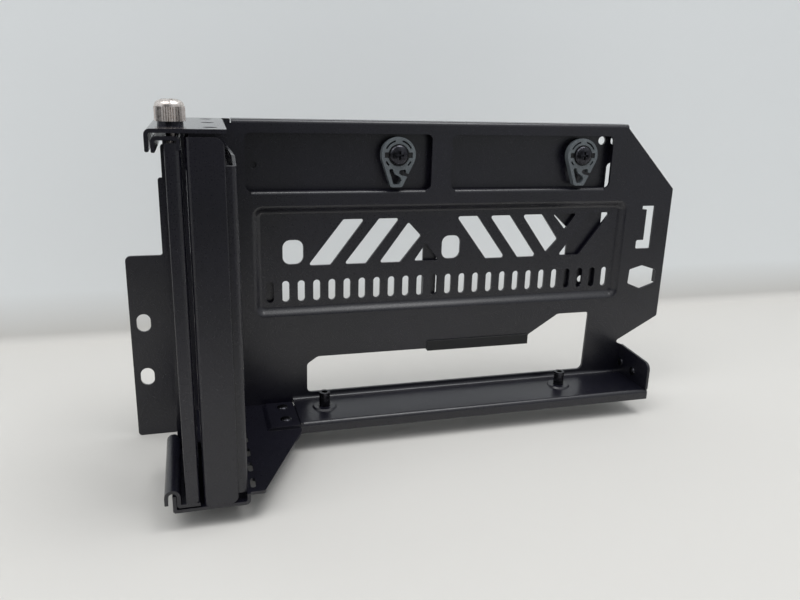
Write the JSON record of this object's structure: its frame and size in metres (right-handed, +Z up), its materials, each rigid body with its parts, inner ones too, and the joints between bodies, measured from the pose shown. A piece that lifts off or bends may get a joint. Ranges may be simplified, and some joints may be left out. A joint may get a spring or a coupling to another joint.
{
  "type": "vertical graphics card mount",
  "caption": "Folded sheet steel carriage that holds a graphics card upright in a computer case, with a sliding rail plate, swing clips, riser tray and card slot frame.",
  "frame": {"origin": "middle of the footprint at the level of the lowest edge, which is the foot of the rail plate's case flange", "axes": "+X along the main plate, from the card's bracket to its far end; +Y from the tray towards the back of the main plate; +Z up"},
  "size_m": [0.2442, 0.079, 0.1393],
  "materials": {
    "black_powder_coat": "fine textured black powder coat on steel sheet",
    "edge_rubber": "soft matt black edge strip",
    "clip_acetal": "satin light grey moulded plastic",
    "bush_plastic": "matt black moulded plastic",
    "black_screw": "black oxide on steel, slightly glossy",
    "nickel": "nickel plated steel, knurled"
  },
  "bodies": {
    "rail": {"rail_plate": "black_powder_coat", "clip_screw_left": "black_screw", "clip_screw_right": "black_screw"},
    "carriage": {"front_plate": "black_powder_coat", "cable_edge_guard": "edge_rubber", "riser_tray": "black_powder_coat", "end_gusset": "black_powder_coat", "base_gusset": "black_powder_coat", "inner_wall": "black_powder_coat", "front_post": "black_powder_coat", "top_cap": "black_powder_coat", "slot_frame": "black_powder_coat", "thumbscrew_washer": "black_screw", "standoff_left": "black_screw", "standoff_right": "black_screw", "pad_rivets": "black_screw", "end_rivets": "black_screw"},
    "clip_l": {"clip_left": "clip_acetal", "clip_bush_left": "bush_plastic"},
    "clip_r": {"clip_right": "clip_acetal", "clip_bush_right": "bush_plastic"},
    "thumb": {"thumbscrew": "nickel"}
  },
  "joints": [
    {"name": "carriage_slide", "type": "slide", "parent": "rail", "child": "carriage", "axis": [1, 0, 0], "range_m": [-0.001, 0.047]},
    {"name": "clip_left_turn", "type": "hinge", "parent": "rail", "child": "clip_l", "pos_m": [-0.0125, 0.033, 0.1178], "axis": [0, 1, 0], "range_deg": [-90, 90]},
    {"name": "clip_right_turn", "type": "hinge", "parent": "rail", "child": "clip_r", "pos_m": [0.0724, 0.033, 0.1178], "axis": [0, 1, 0], "range_deg": [-90, 90]},
    {"name": "thumbscrew_turn", "type": "hinge", "parent": "carriage", "child": "thumb", "pos_m": [-0.1008, -0.01865, 0.133], "axis": [0, 0, 1], "continuous": true}
  ]
}
